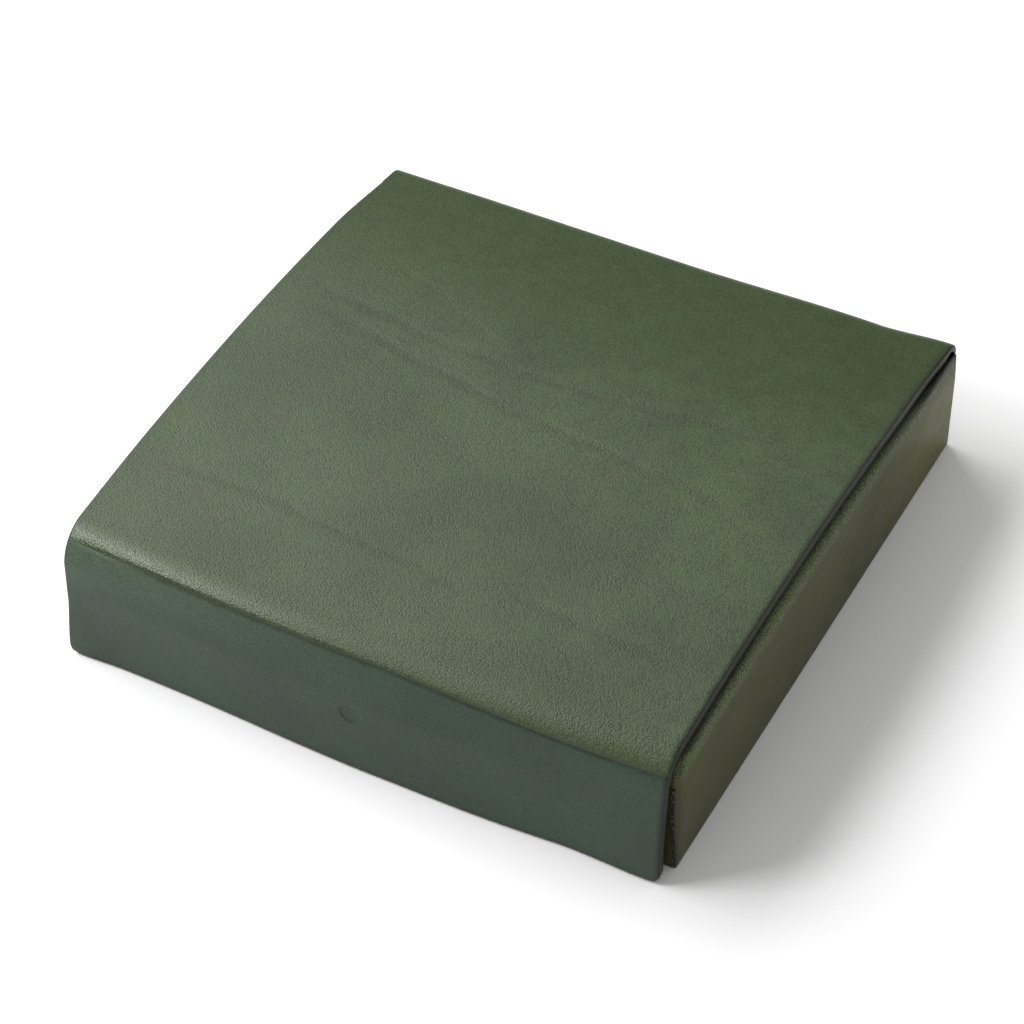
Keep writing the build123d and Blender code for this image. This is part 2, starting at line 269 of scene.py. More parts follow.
for vertex in right_wall.data.vertices:
    place = vertex.co
    if place.z > front_corner[1]:
        place.z -= rim_dip * (1 - min((place.y / dip_reach) ** 2, 1.0))
    if place.x > cover_line + hair:
        place.z += ear_rise(place)
        place.y += ear_lean * ease(place.z, 0, lean_top) * ease(place.y, lean_start, lean_end)
    else:
        out = Vector((place.y - fold_corner[0], place.z - fold_corner[1]))
        if min(out) > 0 and out.length > fold_corner_radius:
            place.y, place.z = Vector(fold_corner) + out.normalized() * fold_corner_radius
        place.y = min(place.y, back_panel)
rim_weight, foot_weight, back_weight, front_weight = 1.0, 0.15, 0.3, 0.25
weights = right_wall.data.attributes.new("bevel_weight_edge", "FLOAT", "EDGE")
for edge in right_wall.data.edges:
    first, last = [right_wall.data.vertices[index].co for index in edge.vertices]
    middle = (first + last) / 2
    if min(first.x, last.x) > cover_line + hair:
        weight = foot_weight if middle.z < wall_low.z + hair else rim_weight
        if middle.y > wall_high.y - hair and middle.z < back_corner[1]:
            weight = back_weight
        if middle.y < wall_low.y + hair and middle.z < front_corner[1]:
            weight = front_weight
        weights.data[edge.index].value = weight
work(right_wall, "BEVEL", width=rim_round, segments=6, limit_method="WEIGHT", use_clamp_overlap=False)
bpy.ops.object.shade_smooth_by_angle(angle=smooth_angle)

soft = {"interpolation_type": "SMOOTHSTEP"}


def full_grain(name, deep, pale, coordinate, gloss=0.45, relief=1.0, furrow_dark=0.16):
    """Full-grain calf leather, dyed through and waxed. The eye sees a fine pebbled grain, clouds of
    lighter and darker dye, and a soft sheen that breaks up in the grain. Returns what to build on."""
    material = bpy.data.materials.new(name)
    material.use_nodes = True
    tree = material.node_tree
    shader = tree.nodes["Principled BSDF"]
    place = node(tree, "TexCoord").outputs[coordinate]
    cloud_size, mottle_size = 60 * mm, 9 * mm
    grain_pitch, grain_depth = 0.65 * mm, 0.06 * mm
    # Real pores are about a tenth of a millimetre and would not show, so they are drawn coarser.
    pore_size, pore_depth = 0.45 * mm, 0.03 * mm
    cloud = node(
        tree, "TexNoise", {"Vector": place, "Scale": 1 / cloud_size, "Detail": 3.0, "Roughness": 0.5}
    ).outputs[0]
    mottle = node(
        tree, "TexNoise", {"Vector": place, "Scale": 1 / mottle_size, "Detail": 3.0, "Roughness": 0.55}
    ).outputs[0]
    pores = node(
        tree, "TexNoise", {"Vector": place, "Scale": 1 / pore_size, "Detail": 2.0, "Roughness": 0.6}
    ).outputs[0]
    pebbles = node(
        tree,
        "TexVoronoi",
        {"Vector": place, "Scale": 1 / grain_pitch, "Randomness": 1.0},
        feature="F1",
    ).outputs["Distance"]
    spread = node(tree, "MapRange", (cloud, 0.3, 0.7, 0, 1), **soft)
    dye = node(tree, "Mix", {0: spread, 6: linear(deep), 7: linear(pale)}, data_type="RGBA").outputs[2]
    fleck = node(tree, "MapRange", (mottle, 0.3, 0.7, 0.93, 1.07), **soft)
    furrow = node(tree, "MapRange", (pebbles, 0.2, 0.8, 1 + 0.5 * furrow_dark, 1 - furrow_dark), **soft)
    tint = node(tree, "Math", (fleck, furrow), operation="MULTIPLY")
    colour = node(tree, "VectorMath", {0: dye, "Scale": tint}, operation="SCALE")
    wax = node(tree, "MapRange", (mottle, 0.3, 0.7, gloss - 0.04, gloss + 0.05), **soft)
    pore_bump = node(tree, "Bump", {"Height": pores, "Distance": pore_depth, "Strength": relief})
    grain_bump = node(
        tree,
        "Bump",
        {"Height": pebbles, "Distance": grain_depth, "Strength": relief, "Normal": pore_bump.outputs[0]},
        invert=True,
    )
    tree.links.new(colour.outputs[0], shader.inputs["Base Color"])
    tree.links.new(wax.outputs[0], shader.inputs["Roughness"])
    tree.links.new(grain_bump.outputs[0], shader.inputs["Normal"])
    shader.inputs["IOR"].default_value = 1.5
    return {
        "material": material,
        "tree": tree,
        "shader": shader,
        "place": place,
        "colour": colour,
        "dye": dye,
        "wax": wax,
        "bumps": (pore_bump, grain_bump),
    }


# Their leather is smooth and browner on the flat of the wall, and a painted reflection lightens it towards
# the back. It is greener and open-grained where it is pulled over the rim, darker towards the back of the
# rim, with painted shade at the front corner and under the cover's edge.
rim_from, rim_full, dark_from, dark_full = 11 * mm, 5 * mm, 2.0 * mm, 0.6 * mm
corner_from, corner_full, reflection_start, rim_grain_size = 7 * mm, 1 * mm, 50 * mm, 0.7 * mm
wall_leather = full_grain("olive_green_calf_leather", "434620", "4F5127", "Object", gloss=0.5)
tree, wall_place = wall_leather["tree"], wall_leather["place"]
wall_leather["shader"].inputs["Specular IOR Level"].default_value = 0.28
_, to_back, height = node(tree, "SeparateXYZ", {0: wall_place}).outputs
from_crown = node(tree, "Math", (to_back, rim_arch[0]), operation="SUBTRACT")
square = node(tree, "Math", (from_crown, from_crown), operation="MULTIPLY")
raised = node(tree, "Math", (square, 1 / (2 * rim_radius), height), operation="MULTIPLY_ADD")
on_rim = node(tree, "MapRange", (raised, wall_high.z - rim_from, wall_high.z - rim_full, 0, 1), **soft)
# Painted shade: the flap shades the front corner, so the colour is darkened there.
corner_painted_shade = node(
    tree, "MapRange", (to_back, wall_low.y + corner_from, wall_low.y + corner_full, 1.0, 0.75), **soft
)
rim_grain = node(
    tree, "TexNoise", {"Vector": wall_place, "Scale": 1 / rim_grain_size, "Detail": 1.0}
).outputs[0]
speckle = node(tree, "MapRange", (rim_grain, 0.38, 0.62, 0.45, 1.45), **soft)
rim_shade = node(tree, "MapRange", (to_back, 0, wall_high.y, 1.0, 0.75), **soft)
speckled = linear("5C643E")[:3]
for change in (speckle, rim_shade):
    speckled = node(tree, "VectorMath", {0: speckled, "Scale": change}, operation="SCALE")
# Painted reflection: the flat of the wall is lightened towards the back.
painted_reflection_to_back = node(tree, "MapRange", (to_back, reflection_start, wall_high.y, 1.0, 1.75), **soft)
flat_dye_and_reflection = node(tree, "VectorMath", {0: wall_leather["dye"], "Scale": painted_reflection_to_back}, operation="SCALE")
rim_dye_and_painted_light = node(
    tree, "Mix", {0: on_rim, 6: flat_dye_and_reflection.outputs[0], 7: speckled.outputs[0]}, data_type="RGBA"
).outputs[2]
# Painted shade under the overhang of the cover's edge.
painted_shade_under_cover = node(
    tree, "MapRange", (raised, wall_high.z - dark_from, wall_high.z - dark_full, 1.0, 0.3), **soft
)
wall_dye_and_painted_shade = rim_dye_and_painted_light
for change in (corner_painted_shade, painted_shade_under_cover):
    wall_dye_and_painted_shade = node(tree, "VectorMath", {0: wall_dye_and_painted_shade, "Scale": change}, operation="SCALE")
tree.links.new(wall_dye_and_painted_shade.outputs[0], wall_leather["colour"].inputs[0])
opened = node(tree, "MapRange", (on_rim, 0, 1, 0.3, 3.0), **soft)
for bump in wall_leather["bumps"]:
    tree.links.new(opened.outputs[0], bump.inputs["Strength"])
right_wall.data.materials.append(wall_leather["material"])
left_wall = copy_of(right_wall, "left_wall", scale=(-1, 1, 1))
# The left wall has no ear: there the rim is pushed down by a little more than the right ear rises.
left_ear_share = 1.2
for vertex in left_wall.data.vertices:
    if vertex.co.x < -cover_line:
        vertex.co.z -= left_ear_share * ear_rise(vertex.co)
for piece, side in ((right_wall, "right"), (left_wall, "left")):
    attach(piece, "tray")
    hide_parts(f"{side}_side_leather", f"{side}_side_board")

# Corner seams: the raw cut edge of the front leather, glued over the turned end of the side leather. It
# stands a little proud in a rough dark line down each front corner, slanting to the side at the foot.
seam_width, seam_height, seam_proud = 1.4 * mm, 40 * mm, 0.7 * mm
seam_x, seam_front, seam_foot = 121.3 * mm, wall_low.y - 0.1 * mm, 0.8 * mm
fray_size, fray_x, fray_y, fray_seed = 1.1 * mm, 0.25 * mm, 0.2 * mm, 7
slant_height, slant_x, slant_y = 30 * mm, 1.2 * mm, 0.45 * mm
bpy.ops.mesh.primitive_grid_add(
    x_subdivisions=4,
    y_subdivisions=64,
    size=1,
    location=(seam_x, seam_front, seam_foot + seam_height / 2),
    rotation=(math.pi / 2, 0, 0),
)
right_seam = open_new("right_corner_seam", (seam_width, seam_height, 1))
bpy.ops.object.mode_set(mode="OBJECT")
noise.seed_set(fray_seed)
for vertex in right_seam.data.vertices:
    place = vertex.co
    rough = noise.noise_vector(place / fray_size)
    foot = 1 - ease(place.z, 0, slant_height)
    vertex.co = place + Vector((fray_x * rough.x + slant_x * foot, fray_y * rough.y + slant_y * foot, 0))
work(right_seam, "SOLIDIFY", thickness=seam_proud, offset=0.0)
# Raw cut leather, stained dark: dull, with paler fibres that stick out of it. Real ones are finer than a
# hair, so they are drawn coarser.
thread_size, thread_height = 0.9 * mm, 0.3 * mm
raw_edge = bpy.data.materials.new("raw_cut_leather_edge")
raw_edge.use_nodes = True
tree = raw_edge.node_tree
shader = tree.nodes["Principled BSDF"]
threads = node(
    tree,
    "TexNoise",
    {"Vector": node(tree, "TexCoord").outputs["Object"], "Scale": 1 / thread_size, "Detail": 3.0},
).outputs[0]
frayed = node(tree, "MapRange", {"Value": threads, "From Min": 0.55, "From Max": 0.7}).outputs[0]
fibre_colour = node(
    tree, "Mix", {0: frayed, 6: linear("1D1F16"), 7: linear("6B7458")}, data_type="RGBA"
).outputs[2]
tree.links.new(fibre_colour, shader.inputs["Base Color"])
thread_bump = node(tree, "Bump", {"Height": threads, "Distance": thread_height}).outputs[0]
tree.links.new(thread_bump, shader.inputs["Normal"])
shader.inputs["Roughness"].default_value = 0.85
right_seam.data.materials.append(raw_edge)
left_seam = copy_of(right_seam, "left_corner_seam", scale=(-1, 1, 1))
for piece in (right_seam, left_seam):
    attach(piece, "tray")

# Front wall and sole: the same leather over the front board and under the floor, cut flat and glued.
# They are plain sheets, so the CAD pieces stay.
dress(wall_leather["material"], "base_leather", "front_leather")

# Linings: goatskin suede glued to the inside of the walls and the floor. It is turned over the top of the
# back board, the only place where that board would show. The brushed nap is dull, with paler and darker
# strokes. It is finer than a hair, so it is drawn coarse enough to show.
suede_cloud, suede_nap, nap_height = 12 * mm, 0.5 * mm, 0.15 * mm
suede = bpy.data.materials.new("tan_goat_suede")
suede.use_nodes = True
tree = suede.node_tree
shader = tree.nodes["Principled BSDF"]
suede_place = node(tree, "TexCoord").outputs["Object"]
brushed = node(
    tree, "TexNoise", {"Vector": suede_place, "Scale": 1 / suede_cloud, "Detail": 6.0}
).outputs[0]
nap = node(
    tree, "TexNoise", {"Vector": suede_place, "Scale": 1 / suede_nap, "Detail": 3.0}
).outputs[0]
tan = node(
    tree, "Mix", {0: brushed, 6: linear("7E6A50"), 7: linear("A89173")}, data_type="RGBA"
).outputs[2]
tree.links.new(tan, shader.inputs["Base Color"])
nap_bump = node(tree, "Bump", {"Height": nap, "Distance": nap_height}).outputs[0]
tree.links.new(nap_bump, shader.inputs["Normal"])
shader.inputs["Roughness"].default_value = 0.95
shader.inputs["Sheen Weight"].default_value = 0.4
shader.inputs["Sheen Roughness"].default_value = 0.5
dress(suede, "right_lining", "left_lining", "front_lining", "back_lining", "floor_lining", "back_board")

# Dividers: thin boards wrapped in the same suede, rounded along the top, one long and two across it. They
# are let into each other with halving joints and stand loose on the floor.
divider_round = 1.9 * mm


def pick(kind, wanted):
    """Selects those vertices, edges or faces of the open piece whose place and normal are wanted."""
    bpy.ops.mesh.select_mode(type=kind)
    bpy.ops.mesh.select_all(action="DESELECT")
    form = bmesh.from_edit_mesh(bpy.context.object.data)
    for item in {"VERT": form.verts, "EDGE": form.edges, "FACE": form.faces}[kind]:
        if kind == "EDGE":
            place = (item.verts[0].co + item.verts[1].co) / 2
            normal = (item.verts[0].normal + item.verts[1].normal).normalized()
        else:
            place = item.co if kind == "VERT" else item.calc_center_median()
            normal = item.normal
        item.select_set(bool(wanted(place, normal)))
    form.select_flush_mode()
    bmesh.update_edit_mesh(bpy.context.object.data)


def wrapped_board(name, cad_node):
    """A suede-wrapped board in the place of a CAD node, with a round top."""
    low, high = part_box(cad_node)
    bpy.ops.mesh.primitive_cube_add(size=1, location=(low + high) / 2)
    board = open_new(name, high - low)
    pick("EDGE", lambda place, normal: place.z > high.z - hair)
    bpy.ops.mesh.bevel(offset=divider_round, segments=6, affect="EDGES", clamp_overlap=False)
    bpy.ops.object.mode_set(mode="OBJECT")
    bpy.ops.object.shade_smooth_by_angle(angle=smooth_angle)
    board.data.materials.append(suede)
    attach(board, "tray")
    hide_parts(cad_node)


for divider in ("long", "right", "left"):
    wrapped_board(f"{divider}_partition", f"{divider}_divider")

# Ring rolls: five bolsters of suede, filled with soft wadding, side by side in the middle compartment. They
# are stuffed tight, so they bulge, and gathered a little near the ends. Rings are pushed in between them.
roll_low, roll_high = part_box("ring_roll_1")
roll_size, roll_middle = roll_high - roll_low, (roll_low + roll_high) / 2
roll_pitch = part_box("ring_roll_2")[0].y - roll_low.y
slack, fold_round, end_round, weave_cell = 1.6 * mm, 8 * mm, 2 * mm, 2.4 * mm
roll_count, swell_frames, swell_most = 5, 20, 2.5 * mm
gather_inset, gather_width, gather_pull, gather_height = 5 * mm, 1.2 * mm, 0.06, 0.4
bpy.ops.mesh.primitive_cube_add(size=1, location=roll_middle)
roll = open_new("ring_bolster_1", roll_size - Vector((2 * slack, 2 * slack, slack)))
bpy.ops.transform.translate(value=(0, 0, -slack / 2))
pick("EDGE", lambda place, normal: place.z > roll_middle.z and abs(place.x) < hair)
bpy.ops.mesh.bevel(offset=fold_round, segments=6, affect="EDGES", clamp_overlap=False)
pick("EDGE", lambda place, normal: abs(place.x) > roll_size.x / 2 - slack - hair)
bpy.ops.mesh.bevel(offset=end_round, segments=2, affect="EDGES", clamp_overlap=False)
bpy.ops.object.mode_set(mode="OBJECT")
work(roll, "REMESH", mode="VOXEL", voxel_size=weave_cell)
before = [vertex.co.copy() for vertex in roll.data.vertices]
cloth = roll.modifiers.new("stuffing", "CLOTH")
cloth.settings.use_pressure = True
cloth.settings.uniform_pressure_force = 4.0
cloth.settings.effector_weights.gravity = 0.0
cloth.settings.quality = 6
cloth.settings.mass = 0.2
cloth.point_cache.frame_start, cloth.point_cache.frame_end = 1, swell_frames
for number in range(1, swell_frames + 1):
    bpy.context.scene.frame_set(number)
bpy.context.view_layer.objects.active = roll
bpy.ops.object.modifier_apply(modifier=cloth.name)
bpy.context.scene.frame_set(1)
for vertex, start in zip(roll.data.vertices, before):
    move = vertex.co - start
    vertex.co = start + move * min(1.0, swell_most / max(move.length, hair))
    vertex.co.z = max(vertex.co.z, roll_low.z)
work(roll, "SUBSURF", levels=1, render_levels=1)
for vertex in roll.data.vertices:
    gather = math.exp(-(((abs(vertex.co.x) - roll_size.x / 2 + gather_inset) / gather_width) ** 2))
    axis_place = Vector((vertex.co.x, roll_middle.y, roll_low.z + gather_height * roll_size.z))
    vertex.co -= (vertex.co - axis_place) * gather_pull * gather
    for axis in range(3):
        vertex.co[axis] = min(max(vertex.co[axis], roll_low[axis]), roll_high[axis])
bpy.ops.object.select_all(action="DESELECT")
roll.select_set(True)
bpy.ops.object.shade_smooth()
roll.data.materials.clear()
roll.data.materials.append(suede)
bolsters = [roll]
for number in range(1, roll_count):
    bolsters.append(copy_of(roll, f"ring_bolster_{number + 1}", shift=(0, number * roll_pitch, 0)))
for number, bolster in enumerate(bolsters):
    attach(bolster, "tray")
    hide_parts(f"ring_roll_{number + 1}")

# Magnets: nickel-plated discs sunk in the front board and in the core of the flap, to hold it shut. The plate
# is bright and warm, with fine scuffs that dull it in places.
scuff_size = 0.8 * mm
nickel = bpy.data.materials.new("nickel_plate")
nickel.use_nodes = True
tree = nickel.node_tree
shader = tree.nodes["Principled BSDF"]
shader.inputs["Base Color"].default_value = linear("C9C4BA")
shader.inputs["Metallic"].default_value = 1.0
scuffs = node(
    tree,
    "TexNoise",
    {"Vector": node(tree, "TexCoord").outputs["Object"], "Scale": 1 / scuff_size},
).outputs[0]
scuffed = node(tree, "MapRange", {"Value": scuffs, "To Min": 0.15, "To Max": 0.4}).outputs[0]
tree.links.new(scuffed, shader.inputs["Roughness"])
dress(nickel, "left_wall_magnet", "right_wall_magnet", "left_flap_magnet", "right_flap_magnet")

# Cover: one hide, stiffened by a core and lined with suede, pressed into a shallow arch. It is glued to the
# back of the tray, folds over at the top of the back, and is creased in front, where it hangs as a flap.
cover_half, back_face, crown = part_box("lid_leather")[1]
foot_spare = 0.5 * mm
front_face, flap_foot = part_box("flap_leather")[0].yz - Vector((0, foot_spare))
back_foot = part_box("back_leather")[0].z
hinge_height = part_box("lid_leather")[0].z
cover_thickness, hide_thickness, fold_thickness = 5.0 * mm, 1.4 * mm, 2.6 * mm
arch_radius, crown_setback, front_bend_radius, back_bend_radius = 1100 * mm, 100.5 * mm, 15 * mm, 8 * mm
crease_turn, crease_zone = math.radians(145), math.radians(8)
arch_centre = (front_face + crown_setback, crown - arch_radius)
front_bend = corner_on(arch_centre, arch_radius, front_face + front_bend_radius, front_bend_radius)
back_bend = corner_on(arch_centre, arch_radius, back_face - back_bend_radius, back_bend_radius)
front_turn = turn_about(arch_centre, *front_bend)
back_turn = turn_about(arch_centre, *back_bend)
top_turn = math.pi / 2
front_run = arch_radius * (front_turn - top_turn)
back_run = -arch_radius * (top_turn - back_turn)
crease_run = front_run + front_bend_radius * (crease_turn - front_turn)
flap_run = front_run + front_bend_radius * (math.pi - front_turn)
hinge_run = back_run - back_bend_radius * back_turn
foot_run = flap_run + front_bend[1] - flap_foot

columns, back_rows, flap_rows = 120, 14, 21
bpy.ops.mesh.primitive_grid_add(
    x_subdivisions=columns,
    y_subdivisions=back_rows,
    size=1,
    location=(0, back_face, (back_foot + hinge_height) / 2),
    rotation=(-math.pi / 2, 0, 0),
)
cover = open_new("cover_lid", (2 * cover_half, hinge_height - back_foot, 1))
pick("VERT", lambda place, normal: place.z > hinge_height - hair)
for centre, angle, steps in (
    (back_bend, back_turn, 10),
    (arch_centre, front_turn - back_turn, 118),
    (front_bend, crease_turn - crease_zone - front_turn, 12),
    (front_bend, crease_zone, 5),
    (front_bend, crease_zone, 5),
    (front_bend, math.pi - crease_turn - crease_zone, 9),
):
    bpy.ops.mesh.spin(steps=steps, angle=angle, center=(0, *centre), axis=(-1, 0, 0))
drop = (flap_foot - front_bend[1]) / flap_rows
for _ in range(flap_rows):
    bpy.ops.mesh.extrude_region_move(TRANSFORM_OT_translate={"value": (0, 0, drop)})
bpy.ops.mesh.select_all(action="SELECT")
bpy.ops.mesh.normals_make_consistent(inside=False)
bpy.ops.object.mode_set(mode="OBJECT")


def run_of(y, z):
    """Way along the sheet from the crown of the arch, positive to the front."""
    if y > back_bend[0] and z < hinge_height:
        return hinge_run - (hinge_height - z)
    if y > back_bend[0]:
        turn = turn_about(back_bend, y, z)
        if turn < back_turn:
            return back_run - back_bend_radius * (back_turn - turn)
    if y < front_bend[0] and z < front_bend[1]:
        return flap_run + front_bend[1] - z
    if y < front_bend[0]:
        turn = turn_about(front_bend, y, z)
        if turn > front_turn:
            return front_run + front_bend_radius * (turn - front_turn)
    return arch_radius * (turn_about(arch_centre, y, z) - top_turn)


runs = [run_of(vertex.co.y, vertex.co.z) for vertex in cover.data.vertices]
flat = cover.data.uv_layers[0]
flat.name = "flat_hide"
for loop in cover.data.loops:
    flat.data[loop.index].uv = (cover.data.vertices[loop.vertex_index].co.x, runs[loop.vertex_index])
fold_share, hide_share = fold_thickness / cover_thickness, hide_thickness / cover_thickness
core_start, core_full, hinge_taper = -150 * mm, -146 * mm, 2 * mm
thick = cover.vertex_groups.new(name="thickness")
for index, run in enumerate(runs):
    share = fold_share + (1 - fold_share) * ease(run, core_start, core_full)
    share -= (fold_share - hide_share) * (1 - ease(run, hinge_run - hinge_taper, hinge_run + hinge_taper))
    thick.add([index], share, "REPLACE")

# The hand of the maker in it: the front bows out in the middle, the sheet lies a little uneven and is cut a
# little wide, the crease wanders along the bend, and the free corners are rounded and stand off.
bow, bow_start, corner_radius = 4.4 * mm, 30 * mm, 3.6 * mm
right_wide, left_wide = 1.25 * mm, 0.8 * mm
arch_slope = math.tan(front_turn - top_turn)
flat_run, flap_flatness, flat_from, flat_full = flap_run + 8 * mm, 0.8, 2 * mm, 40 * mm
crease_drift_left, crease_drift_right, drift_end = -2.5 * mm, 1.6 * mm, 112 * mm
wave_size, wave_height, wave_start = 45 * mm, 0.22 * mm, 30 * mm


def on_front(run):
    """The place on the front bend or the flap at this way along the sheet."""
    if run > flap_run:
        return Vector((0, front_face, front_bend[1] - (run - flap_run)))
    turn = front_turn + (run - front_run) / front_bend_radius
    return Vector((0, *front_bend)) + front_bend_radius * Vector((0, math.cos(turn), math.sin(turn)))


flat_place = on_front(flat_run)
normals = [vertex.normal.copy() for vertex in cover.data.vertices]
for vertex, run, normal in zip(cover.data.vertices, runs, normals):
    place = vertex.co.copy()
    shift = bow * (place.x / cover_half) ** 2 * ease(run, bow_start, front_run)
    wide = right_wide * ease(place.x, 0, cover_half) - left_wide * ease(-place.x, 0, cover_half)
    if run <= front_run:
        y = place.y + shift
        on_arch = math.sqrt(arch_radius**2 - (y - arch_centre[0]) ** 2) + arch_centre[1]
        lift = on_arch - place.z if run > back_run else 0
    else:
        lift = shift * arch_slope * (1 - ease(run, flap_run, foot_run))
    drift = crease_drift_left + (crease_drift_right - crease_drift_left) * ease(place.x, 0, drift_end)
    if front_run < run < flat_run:
        near_crease = ease(run, front_run, crease_run) * (1 - ease(run, crease_run, flat_run))
        place.yz = on_front(run + drift * near_crease).yz
    if crease_run < run < flat_run:
        share = (run - crease_run) / (flat_run - crease_run)
        chord = on_front(crease_run + drift).lerp(flat_place, share)
        settle = ease(cover_half - abs(place.x), flat_from, flat_full) * flap_flatness
        place = place.lerp(Vector((place.x, chord.y, chord.z)), settle)
    wave = wave_height * noise.noise(Vector((place.x, run, 0)) / wave_size)
    uneven = wave * ease(run, back_run, back_run + wave_start)
    vertex.co = place + Vector((wide, shift, lift)) + normal * uneven
    side_gap, foot_gap = cover_half - abs(place.x), foot_run - run
    if max(side_gap, foot_gap) < corner_radius:
        to_side, to_foot = 1 - side_gap / corner_radius, 1 - foot_gap / corner_radius
        pulled_in = to_side * (1 - math.sqrt(1 - to_foot**2 / 2))
        vertex.co.x -= math.copysign(corner_radius * pulled_in, place.x)
        vertex.co.z += corner_radius * to_foot * (1 - math.sqrt(1 - to_side**2 / 2))

bpy.context.view_layer.objects.active = cover
bpy.ops.object.mode_set(mode="EDIT")
for spot, pull, reach in (
    ((-72, -127, 1), (0, 1.6, 0), 48),
    ((-36, -127, 1), (0, 0.9, 0), 44),
    ((-120, -124, 5), (-0.4, -1.4, 0), 24),
    ((60, -127, 1), (0, -0.8, 0), 50),
    ((121, -124, 12), (0.2, -3.9, 0), 44),
    ((80, 122, 50), (0, 0.4, 1.3), 70),
    ((121, 126, 49), (1.3, 1.2, 2.0), 30),
    ((-121, 124, 50), (1.6, 0, -0.3), 46),
):
    target = Vector(spot) * mm
    form = bmesh.from_edit_mesh(cover.data)
    nearest = min(form.verts, key=lambda vertex: (vertex.co - target).length_squared).co.copy()
    pick("VERT", lambda place, normal: (place - nearest).length < hair)
    bpy.ops.transform.translate(
        value=Vector(pull) * mm,
        use_proportional_edit=True,
        proportional_edit_falloff="SMOOTH",
        proportional_size=reach * mm,
    )
bpy.ops.object.mode_set(mode="OBJECT")

# Its leather: waxed calf. The grain is pulled open towards the bend, and polished by hands at its left end.
# It is browner in patches, deeper green towards the fold and dark along the cut sides. Growth marks of the
# hide run across the top, and the grain is deeper in them.
cut_band, bend_half, fold_from, fold_full = 4 * mm, 4 * mm, -40 * mm, -150 * mm
turn_from, turn_full, pull_from, pull_full = front_run + 1 * mm, front_run + 8 * mm, -120 * mm, 40 * mm
cover_leather = full_grain("green_waxed_calf_leather", "3C4E30", "485A3B", "UV", gloss=0.42, furrow_dark=0.3)
tree, sheet_place = cover_leather["tree"], cover_leather["place"]
across, run, _ = node(tree, "SeparateXYZ", {0: sheet_place}).outputs
off_middle = node(tree, "Math", (across,), operation="ABSOLUTE")
cut_dark = node(tree, "MapRange", (off_middle, cover_half - cut_band, cover_half, 1.0, 0.74), **soft)
to_fold = node(tree, "MapRange", (run, fold_from, fold_full, 0, 1), **soft)
on_bend = node(tree, "MapRange", (run, front_run - bend_half, front_run + bend_half, 0, 1), **soft)


def crease_shade(tree, across, run, reach):
    """Painted shade in the crease, but not at its left end, where the fold runs out."""
    crease_dark, crease_end, crease_full = 0.44, -cover_half + 6 * mm, -cover_half + 45 * mm
    below = node(tree, "Math", (run, crease_run), operation="SUBTRACT")
    off = node(tree, "Math", (below,), operation="ABSOLUTE")
    line = node(tree, "MapRange", (off, 0, reach, crease_dark, 0.0), **soft)
    pressed = node(tree, "MapRange", (across, crease_end, crease_full, 0.05, 1.0), **soft)
    shade = node(tree, "Math", (line, pressed), operation="MULTIPLY")
    return node(tree, "Math", (1.0, shade), operation="SUBTRACT")


patch_size, sway_size, sway_most, growth_depth = 34 * mm, 26 * mm, 3 * mm, 0.18 * mm
lid_crease_reach, flap_crease_reach = 2.4 * mm, 1.7 * mm
weather = node(tree, "TexNoise", {"Vector": sheet_place, "Scale": 1 / patch_size, "Detail": 2.0}).outputs[0]
tanned = node(tree, "MapRange", (weather, 0.5, 0.68, 0, 0.22), **soft)
dye_and_crease_shade = cover_leather["dye"]
for share, dye in ((tanned, "504E36"), (on_bend, "3F512F"), (to_fold, "33461D")):
    dye_and_crease_shade = node(tree, "Mix", {0: share, 6: dye_and_crease_shade, 7: linear(dye)}, data_type="RGBA").outputs[2]
# The crease gets painted shade.
for darkening in (cut_dark, crease_shade(tree, across, run, lid_crease_reach)):
    dye_and_crease_shade = node(tree, "VectorMath", {0: dye_and_crease_shade, "Scale": darkening}, operation="SCALE")
handled = node(tree, "MapRange", (across, -cover_half, 0.4 * cover_half, -0.18, 0.03), **soft)
on_turn = node(tree, "MapRange", (run, turn_from, turn_full, 0, 1), **soft)
polish = node(tree, "Math", (on_turn, handled), operation="MULTIPLY")
polished = node(tree, "Math", (cover_leather["wax"], polish), operation="ADD")
tree.links.new(polished.outputs[0], cover_leather["shader"].inputs["Roughness"])
wobble = node(
    tree, "TexNoise", {"Vector": sheet_place, "Scale": 1 / sway_size, "Detail": 4.0, "Roughness": 0.6}
).outputs[0]
sway = node(tree, "MapRange", (wobble, 0, 1, -sway_most, sway_most), **soft)
growth = None
for middle, slope, curve, reach, width, weight in (
    ((-2, -58), -1.0, -0.93, 112, 4.5, 1.0),
    ((-2, -36), 8.7, -0.45, 110, 4.5, 1.0),
    ((-42, 49), 4.0, 0.4, 72, 4.0, 0.8),
    ((72, 52), 5.0, 0.62, 42, 4.0, 0.8),
    ((-55, -80), 25.0, 0.5, 45, 4.5, 0.4),
    ((30, 20), -12.0, 0.3, 60, 4.0, 0.35),
):
    spot = node(
        tree,
        "Mapping",
        {
            "Vector": sheet_place,
            "Location": (middle[0] * mm, middle[1] * mm, 0),
            "Rotation": (0, 0, math.radians(slope)),
        },
        vector_type="TEXTURE",
    ).outputs[0]
    along, beside, _ = node(tree, "SeparateXYZ", {0: spot}).outputs
    square = node(tree, "Math", (along, along), operation="MULTIPLY")
    bent = node(tree, "Math", (square, -curve, beside), operation="MULTIPLY_ADD")
    swayed = node(tree, "Math", (bent, sway), operation="ADD")
    off = node(tree, "Math", (swayed,), operation="ABSOLUTE")
    far = node(tree, "Math", (along,), operation="ABSOLUTE")
    line = node(tree, "MapRange", (off, 0, width * mm, weight, 0), **soft)
    fade = node(tree, "MapRange", (far, 0.7 * reach * mm, reach * mm, 1, 0), **soft)
    mark = node(tree, "Math", (line, fade), operation="MULTIPLY")
    growth = mark if growth is None else node(tree, "Math", (growth, mark), operation="MAXIMUM")
